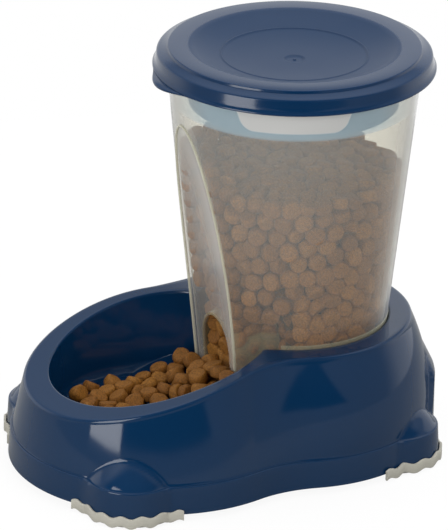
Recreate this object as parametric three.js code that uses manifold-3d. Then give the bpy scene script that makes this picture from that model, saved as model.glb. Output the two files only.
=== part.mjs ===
// Gravity pet feeder: a twin-lobed base with an open bowl in front and a well behind,
// a clear conical hopper standing in the well, a press-on lid, and four rubber
// corner strips. Millimetres, +Z up; the bowl faces -Y. Every piece is drawn around
// the hopper's upright axis, and the whole is then moved so that the origin is the
// middle of the footprint.
import * as THREE from 'three';
import { mergeVertices } from 'three/addons/utils/BufferGeometryUtils.js';
import Module from 'manifold-3d';

const wasm = await Module();
wasm.setup();

// ---- driving dimensions -------------------------------------------------------

// base: plan of the skirt
const bowlLobeR = 103.3;
const hopperLobeR = 100.7;
const lobeSpacing = 96.6;
const waistR = 86.5;

// base: skirt band, ledge and leaning wall
const skirtFoot = 5;          // lower edge of the skirt above the floor
const skirtTop = 24.6;
const skirtLean = 0.06;       // inward, per mm of height
const ledgeWidth = 1.55;
const wallLean = 0.21;
const baseWall = 2.6;

// base: rim, an S-curve in side view that rises from the bowl's lip to the seat
const rimLow = 48;
const rimHigh = 93.5;
const rimRunAhead = 65;       // the S-curve's low end lies this far ahead of the base
const rimRunEnd = 26.5;       // and its high end this far ahead of the hopper axis

// bowl
const bowlOffset = 2.3;       // bowl's centre ahead of its lobe's centre
const bowlHalfWidth = 74;
const bowlHalfLength = 75;
const bowlRadiusHeight = 80;  // height at which those two are measured
const bowlFloor = 33;
const bowlWallLean = 0.1;
const bowlFilletR = 8;
const rampRun = 34.6;         // the floor climbs over this length to the outlet
const rampRise = 3;           // its top, above the floor of the well

// well under the hopper
const wellFloor = 45;
const wellClearance = 0.6;
const restGap = 0.3;          // between a piece and the one it stands on

// corner bulges over the feet, discs that swell out of the lobes
const frontBulgeAngle = 36.5; // off the feeder's cross axis
const rearBulgeAngle = 40.5;
const frontBulgeR = 32;
const frontBulgeOut = 13;     // how far the disc passes the skirt
const rearBulgeR = 32.5;
const rearBulgeOut = 10;
const bulgeConeLean = 1.11;
const bulgeConeRise = 16;

// bumper around the back of the base
const bumperOut = 0.8;        // how far it stands proud of the skirt
const bumperHalfAngle = 40;
const bumperShoulder = 50;
const bumperSlope = 0.49;
const bumperRise = 34;

// rubber foot strips
const stripOut = 2.3;         // how far the strip stands proud of the skirt
const frontStripHalfAngle = 21.5;
const rearStripHalfAngle = 24.5;
const stripLow = 1.2;
const stripHigh = 8.2;
const waveHeight = 1.0;
const waveCount = 6.5;
const padDepth = 9;

// hopper
const hopperSeatR = 67.64;    // outer radius at the height of the rim
const hopperFlare = 0.103;    // growth of that radius per mm of height
const hopperWall = 2;
const hopperTop = 280.6;
const hopperBeadOut = 3.4;
const hopperBeadHeight = 3.2;
const facetAhead = 53.4;      // front face, ahead of the axis at the height facetRise
const facetRise = 26;         // above the floor of the well
const facetLean = 0.08;
const facetBow = 0.00055;
const facetHollow = 0.0026;
const floorRise = 7;          // sloping floor at the outlet, above the floor of the well
const floorSlope = 0.36;
const outletHalfWidth = 21.6;
const outletHeight = 52;
const hoodDepth = 27;
const hoodSplay = 0.3;
const hoodLift = 0.3;
const hoodWall = 1.6;

// lid
const lidRise = 7;            // plateau above the hopper's upper edge
const lidWall = 2;
const lidClearance = 0.7;     // around the hopper's bead
const lidEdge = 1;            // chamfers
const dishR = 70;
const dishDepth = 10;
const plateauInset = 6.8;     // plateau's edge, inwards from the skirt
const plateauStep = 2.2;
const shoulderDrop = 4.6;     // these four are measured down from the plateau
const skirtDrop = 10.4;
const flangeDrop = 15;
const plugDrop = 40.6;
const flangeOut = 2.6;
const plugR = 71;
const tabOut = 4.2;
const tabHalfAngle = 17;
const tabDrop = 2.3;

// ---- sizes that follow ----------------------------------------------------------

const bumperR = hopperLobeR + bumperOut;
const bowlAhead = lobeSpacing + bowlOffset;
const rampTop = wellFloor + rampRise;
const frontBulge = {
  lobeY: -lobeSpacing,
  skirtR: bowlLobeR,
  angle: -frontBulgeAngle,
  r: frontBulgeR,
  out: frontBulgeOut,
  stripHalfAngle: frontStripHalfAngle,
};
const rearBulge = {
  lobeY: 0,
  skirtR: bumperR,
  angle: rearBulgeAngle,
  r: rearBulgeR,
  out: rearBulgeOut,
  stripHalfAngle: rearStripHalfAngle,
};
const frontEnd = lobeSpacing + bowlLobeR;
const rimRunStart = frontEnd + rimRunAhead;
const facetHeight = wellFloor + facetRise;

// ---- drawing --------------------------------------------------------------------

const roundSteps = 64;        // straight steps in a full circle
const riseSteps = 20;         // steps along a long curve
const beyond = 10;            // how far a cutting body reaches past what it cuts
const hair = 0.05;            // keeps two faces out of one plane

const navy = new THREE.MeshStandardMaterial({ color: 0x17325a, roughness: 0.3, metalness: 0 });
const frosted = new THREE.MeshStandardMaterial({
  color: 0xe4e6e2, roughness: 0.35, metalness: 0, transparent: true, opacity: 0.45,
});
const rubber = new THREE.MeshStandardMaterial({ color: 0xaaa8a0, roughness: 0.7, metalness: 0 });

// ---- helpers --------------------------------------------------------------------

const rad = THREE.MathUtils.degToRad;

function solidOf(geometry) {
  geometry.deleteAttribute('normal');
  geometry.deleteAttribute('uv');
  const merged = mergeVertices(geometry, 1e-4);
  return new wasm.Manifold(new wasm.Mesh({
    numProp: 3,
    vertProperties: new Float32Array(merged.attributes.position.array),
    triVerts: new Uint32Array(merged.index.array),
  }));
}

function meshOf(name, solid, material) {
  const { vertProperties, triVerts } = solid.getMesh();
  const geometry = new THREE.BufferGeometry();
  geometry.setAttribute('position', new THREE.BufferAttribute(vertProperties, 3));
  geometry.setIndex(new THREE.BufferAttribute(triVerts, 1));
  geometry.computeVertexNormals();
  const mesh = new THREE.Mesh(geometry, material);
  mesh.name = name;
  return mesh;
}

// closed skin over a stack of level outlines that have equal numbers of points
function loft(levels) {
  const count = levels[0].outline.length;
  const positions = levels.flatMap(({ z, outline }) => outline.flatMap((p) => [p.x, p.y, z]));
  const index = [];
  for (let level = 0; level < levels.length - 1; level += 1) {
    for (let i = 0; i < count; i += 1) {
      const a = level * count + i;
      const b = level * count + ((i + 1) % count);
      index.push(a, b, b + count, a, b + count, a + count);
    }
  }
  const last = (levels.length - 1) * count;
  for (const [a, b, c] of THREE.ShapeUtils.triangulateShape(levels[0].outline, [])) index.push(c, b, a);
  for (const [a, b, c] of THREE.ShapeUtils.triangulateShape(levels.at(-1).outline, [])) {
    index.push(last + a, last + b, last + c);
  }
  const geometry = new THREE.BufferGeometry();
  geometry.setAttribute('position', new THREE.Float32BufferAttribute(positions, 3));
  geometry.setIndex(index);
  return geometry;
}

// points at equal steps from `first` to `last`, both included
function spread(first, last, steps, pointAt) {
  return Array.from({ length: steps + 1 }, (_, i) => pointAt(first + ((last - first) * i) / steps));
}

function ovalArc(centreX, centreY, halfX, halfY, from, to) {
  const steps = Math.ceil((Math.abs(to - from) / (2 * Math.PI)) * roundSteps);
  return spread(from, to, steps, (a) => new THREE.Vector2(
    centreX + halfX * Math.cos(a),
    centreY + halfY * Math.sin(a),
  ));
}

const arc = (centreX, centreY, r, from, to) => ovalArc(centreX, centreY, r, r, from, to);
const oval = (centreX, centreY, halfX, halfY) => (
  ovalArc(centreX, centreY, halfX, halfY, 0, 2 * Math.PI).slice(0, -1)
);

// solid of revolution about the hopper axis, from (radius, height) pairs
function turned(pairs) {
  return solidOf(new THREE.LatheGeometry(pairs.map(([r, z]) => new THREE.Vector2(r, z)), roundSteps)
    .rotateX(Math.PI / 2));
}

// prism across the feeder, from a side view of (y, z) pairs
function acrossPrism(pairs, halfWidth) {
  const shape = new THREE.Shape(pairs.map(([y, z]) => new THREE.Vector2(y, z)));
  const geometry = new THREE.ExtrudeGeometry(shape, { depth: 2 * halfWidth, bevelEnabled: false });
  const toSideView = new THREE.Matrix4().makeBasis(
    new THREE.Vector3(0, 1, 0), new THREE.Vector3(0, 0, 1), new THREE.Vector3(1, 0, 0),
  );
  return solidOf(geometry.translate(0, 0, -halfWidth).applyMatrix4(toSideView));
}

const mirrored = (solid) => solid.mirror([1, 0, 0]);
const joined = (solids) => solids.reduce((whole, solid) => whole.add(solid));

// ---- shared shapes --------------------------------------------------------------

// figure-of-eight outline: two lobes joined by concave waist arcs tangent to both
function twinOutline(inset) {
  const toHopper = hopperLobeR + waistR;
  const toBowl = bowlLobeR + waistR;
  const waistY = (toBowl ** 2 - toHopper ** 2 - lobeSpacing ** 2) / (2 * lobeSpacing);
  const waistX = Math.sqrt(toHopper ** 2 - waistY ** 2);
  const bowlTangent = Math.atan2(waistY + lobeSpacing, waistX);
  const hopperTangent = Math.atan2(waistY, waistX);
  const right = [
    ...arc(0, -lobeSpacing, bowlLobeR - inset, -Math.PI / 2, bowlTangent),
    ...arc(waistX, waistY, waistR + inset, bowlTangent + Math.PI, hopperTangent + Math.PI).slice(1, -1),
    ...arc(0, 0, hopperLobeR - inset, hopperTangent, Math.PI / 2),
  ];
  const left = right.slice(1, -1).reverse().map((p) => new THREE.Vector2(-p.x, p.y));
  return [...right, ...left];
}

function rimHeight(y) {
  const t = THREE.MathUtils.clamp((y + rimRunStart) / (rimRunStart - rimRunEnd), 0, 1);
  return rimLow + (rimHigh - rimLow) * t * t * (3 - 2 * t);
}

const skirtInset = (z) => skirtLean * (z - skirtFoot);
const wallInset = (z) => skirtInset(skirtTop) + ledgeWidth + wallLean * (z - skirtTop);
const hopperR = (z) => hopperSeatR + hopperFlare * (z - rimHigh);
const hopperBeadR = hopperR(hopperTop) + hopperBeadOut;
const facetY = (z) => {
  const up = z - facetHeight;
  return -facetAhead - facetLean * up - facetBow * up * up;
};

// everything ahead of the hopper's front face, which is slightly hollow across
function aheadOfFacet(shift) {
  const half = hopperR(hopperTop) + beyond;
  const level = (z) => {
    const face = (x) => new THREE.Vector2(x, facetY(z) - facetHollow * x * x + shift);
    return {
      z,
      outline: [
        new THREE.Vector2(-half, -frontEnd),
        new THREE.Vector2(half, -frontEnd),
        ...spread(half, -half, riseSteps, face),
      ],
    };
  };
  return solidOf(loft(spread(wellFloor - beyond, hopperTop + beyond, riseSteps, level)));
}

// ---- base shell -----------------------------------------------------------------

// body of the base, grown inwards by `inset` all over; its foot reaches `foot`
function baseBody(inset, foot) {
  const top = rimHigh + beyond;
  const wall = solidOf(loft([
    { z: foot, outline: twinOutline(skirtInset(foot) + inset) },
    { z: skirtTop - inset, outline: twinOutline(skirtInset(skirtTop) + inset) },
    { z: skirtTop - inset + hair, outline: twinOutline(wallInset(skirtTop) + inset) },
    { z: top, outline: twinOutline(wallInset(top) + inset) },
  ]));
  const front = -frontEnd - beyond;
  const back = hopperLobeR + beyond;
  const side = [
    [front, foot - beyond],
    [back, foot - beyond],
    [back, rimHigh - inset],
    ...spread(-rimRunEnd, front, riseSteps, (y) => [y, rimHeight(y) - inset]),
  ];
  return wall.intersect(acrossPrism(side, bowlLobeR + beyond));
}

// disc that swells out of a lobe, with a cone over it that dies into the wall
const bulgeCentre = ({ skirtR, r, out }) => skirtR + out - r;

function bulge(place, inset, foot) {
  const centre = bulgeCentre(place);
  const x = centre * Math.cos(rad(place.angle));
  const y = place.lobeY + centre * Math.sin(rad(place.angle));
  const disc = (z, radius) => ({ z, outline: oval(x, y, radius - inset, radius - inset) });
  const shoulder = place.r - skirtInset(skirtTop) - ledgeWidth;
  const top = skirtTop - inset;
  const solid = solidOf(loft([
    disc(foot, place.r - skirtInset(foot)),
    disc(top, place.r - skirtInset(skirtTop)),
    disc(top + hair, shoulder),
    disc(top + bulgeConeRise, shoulder - bulgeConeLean * bulgeConeRise),
  ]));
  return solid.add(mirrored(solid));
}

function bumper(inset, foot) {
  const half = rad(bumperHalfAngle) - inset / bumperR;
  const sector = (z, r) => ({
    z,
    outline: [
      ...arc(0, 0, r - inset, Math.PI / 2 - half, Math.PI / 2 + half),
      ...arc(0, 0, hopperSeatR, Math.PI / 2 + half, Math.PI / 2 - half),
    ],
  });
  return solidOf(loft([
    sector(foot, bumperR),
    sector(bumperShoulder - inset / 2, bumperR),
    sector(bumperShoulder + bumperRise - inset, bumperR - bumperSlope * bumperRise),
  ]));
}

// bowl and ramp; `grow` thickens the space on every side
function bowlSpace(grow) {
  const level = (z, inset) => ({
    z,
    outline: oval(0, -bowlAhead, bowlHalfWidth - inset + grow, bowlHalfLength - inset + grow),
  });
  const filletTop = bowlFloor + bowlFilletR;
  const insetAtFillet = bowlWallLean * (bowlRadiusHeight - filletTop);
  const filletSteps = 4;
  const top = rimHigh + beyond;
  const levels = [
    ...spread(0, Math.PI / 2, filletSteps, (a) => level(
      filletTop - bowlFilletR * Math.cos(a) - grow,
      insetAtFillet + bowlFilletR * (1 - Math.sin(a)),
    )),
    level(top, bowlWallLean * (bowlRadiusHeight - top)),
  ];
  const rampStart = -facetAhead - rampRun;
  const under = bowlFloor - 2 * beyond;
  const ramp = acrossPrism([
    [rampStart, under],
    [0, under],
    [0, rampTop - grow],
    [-facetAhead, rampTop - grow],
    [rampStart, bowlFloor - grow - hair],
  ], bowlHalfWidth + 2 * beyond);
  return solidOf(loft(levels)).subtract(ramp);
}

function wellSpace(grow) {
  const floor = wellFloor - grow;
  const top = rimHigh + beyond;
  const space = turned([
    [0, floor],
    [hopperR(wellFloor) + wellClearance + grow, floor],
    [hopperR(top) + wellClearance + grow, top],
    [0, top],
  ]);
  return space.subtract(aheadOfFacet(-wellClearance - grow));
}

function baseShell() {
  const body = (inset, foot) => joined([
    baseBody(inset, foot),
    bulge(frontBulge, inset, foot),
    bulge(rearBulge, inset, foot),
    bumper(inset, foot),
  ]);
  const spaces = bowlSpace(0).add(wellSpace(0));
  const grownSpaces = bowlSpace(baseWall).add(wellSpace(baseWall));
  const underside = body(baseWall, skirtFoot - beyond).subtract(grownSpaces);
  return body(0, skirtFoot).subtract(spaces).subtract(underside);
}

// ---- rubber foot strips -----------------------------------------------------------

// plan radius of the skirt's foot around a bulge, from the lobe's centre
function bulgeReach(place, offAxis) {
  const centre = bulgeCentre(place);
  const across = Math.abs(centre * Math.sin(offAxis));
  if (across >= place.r) return place.skirtR;
  return Math.max(place.skirtR, centre * Math.cos(offAxis) + Math.sqrt(place.r ** 2 - across ** 2));
}

function footStrip(place) {
  const stations = Math.ceil(6 * waveCount);
  const half = rad(place.stripHalfAngle);
  const edge = (extra) => spread(-half, half, stations, (offAxis) => {
    const r = bulgeReach(place, offAxis) + extra;
    const a = rad(place.angle) + offAxis;
    return new THREE.Vector2(r * Math.cos(a), place.lobeY + r * Math.sin(a));
  });
  const inner = edge(restGap);
  const outer = edge(stripOut);
  const sections = inner.map((near, i) => {
    const far = outer[i];
    const wave = waveHeight * Math.sin((2 * Math.PI * waveCount * i) / stations);
    const low = stripLow + wave;
    const high = stripHigh + wave;
    return [near.x, near.y, low, far.x, far.y, low, far.x, far.y, high, near.x, near.y, high];
  });
  const index = [0, 1, 2, 0, 2, 3];
  for (let a = 0; a < 4 * stations; a += 1) {
    const b = a % 4 === 3 ? a - 3 : a + 1;
    index.push(a, a + 4, b + 4, a, b + 4, b);
  }
  const last = 4 * stations;
  index.push(last, last + 2, last + 1, last, last + 3, last + 2);
  const ribbon = new THREE.BufferGeometry();
  ribbon.setAttribute('position', new THREE.Float32BufferAttribute(sections.flat(), 3));
  ribbon.setIndex(index);
  const padOutline = [...edge((restGap + stripOut) / 2), ...edge(-padDepth).reverse()];
  const pad = loft([{ z: 0, outline: padOutline }, { z: skirtFoot - restGap, outline: padOutline }]);
  return solidOf(ribbon).add(solidOf(pad));
}

// ---- hopper -----------------------------------------------------------------------

// the way out: an arched tunnel that widens inwards from the front face
function tunnel(grow) {
  const arch = (ahead) => {
    const inwards = Math.max(0, facetAhead - ahead);
    const half = outletHalfWidth + hoodSplay * inwards + grow;
    const top = wellFloor + outletHeight + hoodLift * inwards + grow;
    return {
      z: ahead,
      outline: [
        new THREE.Vector2(-half, wellFloor),
        new THREE.Vector2(half, wellFloor),
        ...arc(0, top - half, half, 0, Math.PI),
      ],
    };
  };
  const levels = [facetAhead - hoodDepth, facetAhead, facetAhead + beyond].map(arch);
  return solidOf(loft(levels).rotateX(Math.PI / 2));
}

// everything lower than the sloping floor, let down by `drop`
function underFloor(drop) {
  const reach = hopperLobeR;
  const floorAt = (y) => wellFloor + floorRise + floorSlope * (y + facetAhead) - drop;
  return acrossPrism([
    [-reach, -beyond],
    [reach, -beyond],
    [reach, floorAt(reach)],
    [-reach, floorAt(-reach)],
  ], reach);
}

function hopper() {
  const foot = wellFloor + restGap;
  const low = foot - beyond;
  const high = hopperTop + beyond;
  const beadFoot = hopperTop - hopperBeadHeight;
  const outside = turned([
    [0, foot],
    [hopperR(foot), foot],
    [hopperR(beadFoot), beadFoot],
    [hopperBeadR, beadFoot],
    [hopperBeadR, hopperTop],
    [0, hopperTop],
  ]).subtract(aheadOfFacet(0));
  const inside = turned([
    [0, low],
    [hopperR(low) - hopperWall, low],
    [hopperR(high) - hopperWall, high],
    [0, high],
  ]).subtract(aheadOfFacet(hopperWall));
  const floorPlate = underFloor(0).subtract(underFloor(hopperWall));
  const shell = outside.subtract(inside.subtract(floorPlate));
  const hood = tunnel(hoodWall).intersect(outside).subtract(underFloor(hopperWall));
  return shell.add(hood).subtract(tunnel(0).subtract(underFloor(0)));
}

// ---- lid --------------------------------------------------------------------------

function lid() {
  const top = hopperTop + lidRise;
  const skirtR = hopperBeadR + lidClearance + lidWall;
  const plateauR = skirtR - plateauInset;
  const flangeR = skirtR + flangeOut;
  const flangeFoot = top - flangeDrop;
  const plugFoot = top - plugDrop;
  const ledge = hopperTop + restGap;
  const dishAt = (r) => top - dishDepth * (1 - (r / dishR) ** 2);
  const dishRings = spread(0, dishR, 5, (r) => r);
  const underRings = dishRings.filter((r) => r < plugR - 2 * lidWall).reverse();
  const cap = turned([
    ...dishRings.map((r) => [r, dishAt(r)]),
    [plateauR, top],
    [plateauR, top - plateauStep],
    [skirtR - lidEdge, top - shoulderDrop],
    [skirtR, top - shoulderDrop - lidEdge],
    [skirtR, top - skirtDrop],
    [flangeR, flangeFoot + lidEdge],
    [flangeR, flangeFoot],
    [flangeR - lidWall, flangeFoot],
    [skirtR - lidWall, top - skirtDrop - lidEdge],
    [skirtR - lidWall, ledge],
    [plateauR - lidWall, ledge],
    [plateauR - lidWall, top - lidWall],
    [plugR, top - lidWall],
    [plugR, plugFoot],
    [plugR - lidWall, plugFoot],
    [plugR - lidWall, dishAt(plugR - lidWall) - lidWall],
    ...underRings.map((r) => [r, dishAt(r) - lidWall]),
  ].reverse());

  // lifting tab, a lip that swells out of the flange at the front
  const half = rad(tabHalfAngle);
  const ahead = -Math.PI / 2;
  const lip = (out) => spread(-half, half, riseSteps, (off) => {
    const swell = Math.cos((off / half) * (Math.PI / 2)) ** 2;
    const r = flangeR - lidEdge / 2 + out * swell;
    return new THREE.Vector2(r * Math.cos(ahead + off), r * Math.sin(ahead + off));
  });
  const root = spread(half, -half, riseSteps, (off) => new THREE.Vector2(
    (flangeR - lidWall) * Math.cos(ahead + off),
    (flangeR - lidWall) * Math.sin(ahead + off),
  ));
  const tab = solidOf(loft([
    { z: flangeFoot - tabDrop, outline: [...lip(tabOut + lidEdge / 2), ...root] },
    { z: flangeFoot + lidEdge / 2, outline: [...lip(tabOut - lidEdge), ...root] },
  ]));
  return cap.add(tab);
}

// ---- assembly ---------------------------------------------------------------------

const feeder = new THREE.Group();
feeder.position.y = (frontEnd - bumperR) / 2;

feeder.add(meshOf('base_shell', baseShell(), navy));
for (const [corner, place] of [['front', frontBulge], ['rear', rearBulge]]) {
  const strip = footStrip(place);
  feeder.add(meshOf(`foot_${corner}_right`, strip, rubber));
  feeder.add(meshOf(`foot_${corner}_left`, mirrored(strip), rubber));
}
feeder.add(meshOf('hopper', hopper(), frosted));
feeder.add(meshOf('lid', lid(), navy));

export default feeder;
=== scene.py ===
"""Looks of a gravity pet feeder: navy base with an open bowl, see-through hopper full of dry food,
press-on lid and rubber corner strips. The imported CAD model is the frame; everything is in metres."""

import math

import bmesh
import bpy
import numpy as np
from mathutils import Matrix, Vector


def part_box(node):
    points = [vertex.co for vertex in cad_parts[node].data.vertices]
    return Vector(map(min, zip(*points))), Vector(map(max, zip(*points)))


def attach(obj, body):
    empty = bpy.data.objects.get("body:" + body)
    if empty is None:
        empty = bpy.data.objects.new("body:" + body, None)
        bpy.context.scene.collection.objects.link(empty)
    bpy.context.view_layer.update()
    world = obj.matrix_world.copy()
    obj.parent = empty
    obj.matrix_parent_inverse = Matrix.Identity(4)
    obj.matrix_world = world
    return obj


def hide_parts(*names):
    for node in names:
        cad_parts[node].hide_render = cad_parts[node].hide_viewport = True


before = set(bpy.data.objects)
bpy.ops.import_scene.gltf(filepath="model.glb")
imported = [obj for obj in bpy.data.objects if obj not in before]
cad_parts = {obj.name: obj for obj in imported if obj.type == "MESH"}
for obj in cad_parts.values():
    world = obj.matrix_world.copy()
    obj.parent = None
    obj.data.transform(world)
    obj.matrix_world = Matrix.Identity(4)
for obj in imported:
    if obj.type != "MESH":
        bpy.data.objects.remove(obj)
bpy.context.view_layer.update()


# ---- camera ---------------------------------------------------------------------------------
# A long lens at the front left, a little above the lid, as for a catalogue.
# It aims between bowl and hopper, and it leans by a degree.
MM = 0.001
lid_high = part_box("lid")[1]
AXIS_Y = (lid_high.y - lid_high.x) / MM          # the hopper's axis, along the feeder, in mm

camera_azimuth, camera_elevation, camera_roll = (math.radians(a) for a in (64.87, 23.2, 0.96))
camera_distance = 3.5
camera_aim = Vector((0, (AXIS_Y - 60) * MM, 0.125))
aim_offset = (0.0094, 0.0102)                     # the view's centre from the aim, right and up

camera_back = Vector((math.sin(camera_azimuth) * math.cos(camera_elevation),
                      -math.cos(camera_azimuth) * math.cos(camera_elevation),
                      math.sin(camera_elevation)))
level_right = Vector((math.cos(camera_azimuth), math.sin(camera_azimuth), 0))
level_up = camera_back.cross(level_right)
camera_right = level_right * math.cos(camera_roll) + level_up * math.sin(camera_roll)
camera_up = level_up * math.cos(camera_roll) - level_right * math.sin(camera_roll)
camera_place = (camera_aim + camera_back * camera_distance
                + camera_right * aim_offset[0] + camera_up * aim_offset[1])

camera_data = bpy.data.cameras.new("camera")
camera_data.sensor_width = 36
camera_data.lens = 350.2
camera_data.clip_end = 20
camera = bpy.data.objects.new("camera", camera_data)
camera.matrix_world = Matrix.Translation(camera_place) @ Matrix(
    (camera_right, camera_up, camera_back)).transposed().to_4x4()
bpy.context.scene.collection.objects.link(camera)
bpy.context.scene.camera = camera


# ---- room -----------------------------------------------------------------------------------
# A white table top in a white cove that is open and darker on the camera's side. A tall softbox
# stands beyond the bowl's end of the table, and wide ones hang overhead and to the right.
def linear(hex_colour):
    """sRGB hex, as in '#0b2a52', to linear red, green, blue and alpha"""
    channels = [int(hex_colour[i:i + 2], 16) / 255 for i in (1, 3, 5)]
    return tuple(c / 12.92 if c <= 0.04045 else ((c + 0.055) / 1.055) ** 2.4 for c in channels) + (1.0,)


def add_node(tree, kind, inputs=(), **settings):
    """A node of this kind. Each input, by name or number, takes a value, another node's socket,
    or another node, for its first output."""
    node = tree.nodes.new(kind)
    for name, value in settings.items():
        setattr(node, name, value)
    for key, value in dict(inputs).items():
        if isinstance(value, bpy.types.Node):
            value = value.outputs[0]
        if isinstance(value, bpy.types.NodeSocket):
            tree.links.new(value, node.inputs[key])
        else:
            node.inputs[key].default_value = value
    return node


def new_material(name):
    """An empty node material and its tree."""
    material = bpy.data.materials.new(name)
    material.use_nodes = True
    material.node_tree.nodes.clear()
    return material, material.node_tree


scene = bpy.context.scene
scene.view_settings.view_transform = "Standard"
scene.cycles.use_denoising = True
scene.cycles.transparent_max_bounces = 24
scene.cycles.max_bounces = 16

away = Vector((-math.sin(camera_azimuth), math.cos(camera_azimuth), 0))   # from the camera, level
opening_turn = math.radians(6)
along_opening = Vector((math.cos(camera_azimuth + opening_turn), math.sin(camera_azimuth + opening_turn), 0))

world = bpy.data.worlds.new("cove")
world.use_nodes = True
scene.world = world
tree = world.node_tree
tree.nodes.clear()
direction = add_node(tree, "ShaderNodeTexCoord").outputs["Generated"]
rise = add_node(tree, "ShaderNodeSeparateXYZ", {0: direction}).outputs["Z"]
behind = add_node(tree, "ShaderNodeVectorMath", {0: direction, 1: away},
                  operation="DOT_PRODUCT").outputs["Value"]
sideways = add_node(tree, "ShaderNodeVectorMath", {0: direction, 1: along_opening},
                    operation="DOT_PRODUCT").outputs["Value"]
# the sides of the opening lean together: the higher up, the further aside a direction counts
aside = add_node(tree, "ShaderNodeMath", {0: sideways}, operation="ABSOLUTE")
aside = add_node(tree, "ShaderNodeMath", {0: rise, 1: 1.0, 2: aside}, operation="MULTIPLY_ADD")
# each part of the cove: what it follows, from where to where, and its level at either end
cove_parts = {"walls": (behind, -0.1, 0.35, 0.33, 0.95), "opening": (aside, 0.58, 0.66, 0.95, 0.0),
              "ahead": (behind, -0.35, 0.0, 1.0, 0.0), "over_table": (rise, -0.004, 0.012, 0.0, 1.0),
              "ceiling": (rise, 0.5, 0.95, 0.47, 1.0), "ceiling_behind": (behind, -0.3, 0.05, 0.15, 1.0),
              "above": (rise, 0.40, 0.50, 0.0, 1.0)}
level = {}
for part, (follows, start, end, low, high) in cove_parts.items():
    level[part] = add_node(tree, "ShaderNodeMapRange", {"Value": follows, "From Min": start, "From Max": end,
                                                        "To Min": low, "To Max": high},
                           interpolation_type="SMOOTHSTEP")
dark = add_node(tree, "ShaderNodeMath", {0: level["opening"], 1: level["ahead"]}, operation="MULTIPLY")
dark = add_node(tree, "ShaderNodeMath", {0: dark, 1: level["over_table"]}, operation="MULTIPLY")
bright = add_node(tree, "ShaderNodeMath", {0: 1.0, 1: dark}, operation="SUBTRACT")
walls = add_node(tree, "ShaderNodeMath", {0: level["walls"], 1: bright}, operation="MULTIPLY")
ceiling = add_node(tree, "ShaderNodeMath", {0: level["ceiling"], 1: level["ceiling_behind"]},
                   operation="MULTIPLY")
cove = add_node(tree, "ShaderNodeMix", {0: level["above"], 2: walls, 3: ceiling})
room = add_node(tree, "ShaderNodeBackground", {"Color": linear("#ffffff"), "Strength": cove})
white = add_node(tree, "ShaderNodeBackground", {"Color": linear("#ffffff"), "Strength": 1.0})
rays = add_node(tree, "ShaderNodeLightPath")
seen = add_node(tree, "ShaderNodeMath", {0: rays.outputs["Is Camera Ray"],
                                         1: rays.outputs["Is Transmission Ray"]}, operation="MAXIMUM")
mixed = add_node(tree, "ShaderNodeMixShader", {0: seen, 1: room, 2: white})
add_node(tree, "ShaderNodeOutputWorld", {0: mixed})

table_radius = 0.62
table_mesh = bpy.data.meshes.new("table")
shaping = bmesh.new()
bmesh.ops.create_circle(shaping, cap_ends=True, segments=96, radius=table_radius)
shaping.to_mesh(table_mesh)
shaping.free()
table = bpy.data.objects.new("table", table_mesh)
scene.collection.objects.link(table)
# matt laminate: pale grey with a soft shadow where it lights the feeder, white to the eye
material, tree = new_material("matt_white_laminate")
rays = add_node(tree, "ShaderNodeLightPath")
seen = add_node(tree, "ShaderNodeMath", {0: rays.outputs["Is Camera Ray"],
                                         1: rays.outputs["Is Transmission Ray"]}, operation="MAXIMUM")
shade = add_node(tree, "ShaderNodeMixRGB", {"Fac": seen, "Color1": linear("#a6a6a4"),
                                            "Color2": linear("#ffffff")})
lit = add_node(tree, "ShaderNodeBsdfDiffuse", {"Color": shade})
glow = add_node(tree, "ShaderNodeEmission", {"Color": linear("#ffffff"), "Strength": 1.0})
glow_share = 0.92                                 # the rest keeps the feeder's shadow
share = add_node(tree, "ShaderNodeMath", {0: seen, 1: glow_share}, operation="MULTIPLY")
mixed = add_node(tree, "ShaderNodeMixShader", {0: share, 1: lit, 2: glow})
add_node(tree, "ShaderNodeOutputMaterial", {0: mixed})
table_mesh.materials.append(material)


def softbox(name, azimuth, distance, height, width, tall, power, shows=True):
    """A soft rectangular lamp that faces the feeder; azimuth in degrees from +X."""
    data = bpy.data.lights.new(name, "AREA")
    data.shape = "RECTANGLE"
    data.size = width
    data.size_y = tall
    data.energy = power
    lamp = bpy.data.objects.new(name, data)
    angle = math.radians(azimuth)
    lamp.location = (distance * math.cos(angle), distance * math.sin(angle), height)
    target = Vector((0, 0, min(height, 0.12)))
    lamp.rotation_euler = (target - lamp.location).to_track_quat("-Z", "Y").to_euler()
    lamp.visible_glossy = shows
    lamp.visible_camera = False
    scene.collection.objects.link(lamp)


softbox("tall_softbox", -67, 0.95, 0.36, 0.44, 0.68, 4.2)
softbox("fill_softbox", 8, 1.9, 0.9, 1.4, 1.2, 16, shows=False)
softbox("overhead_softbox", 120, 0.35, 1.5, 1.4, 1.4, 14, shows=False)


# ---- base -----------------------------------------------------------------------------------
# One injection moulding of glossy navy polypropylene, 2.6 mm thick and hollow underneath.
# Its skin is drawn along level rays from a point between the two lobes, from the foot of the
# skirt over the rim and down into the bowl and the well, and back along the underside.
bowl_lobe_r, hopper_lobe_r, lobe_spacing, waist_r = 103.3, 100.7, 96.6, 86.5
skirt_foot, skirt_top, skirt_lean, ledge_width, base_wall = 5, 24.6, 0.06, 1.55, 2.6
wall_lean, wall_bow, wall_swell, swell_above = 0.19, 0.00082, 4.7, 40
rim_low, rim_high, rim_run_end = 48, 93.5, 26.5
rim_run_start = lobe_spacing + bowl_lobe_r + 65
bowl_ahead, bowl_half_width, bowl_half_length, bowl_radius_height = lobe_spacing + 2.3, 74, 75, 80
bowl_floor, bowl_wall_lean, bowl_fillet = 33, 0.1, 8
well_floor, well_clearance, rest_gap = 45, 0.6, 0.3
facet_ahead, facet_height, facet_lean, facet_bow, facet_hollow = 53.4, well_floor + 26, 0.08, 0.00055, 0.0026
ramp_start_ahead, ramp_top = facet_ahead + 34.6, well_floor + 3
hopper_seat_r, hopper_flare = 67.64, 0.103
bulge_cone_lean, bulge_cone_bow = 0.62, 0.026
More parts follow.
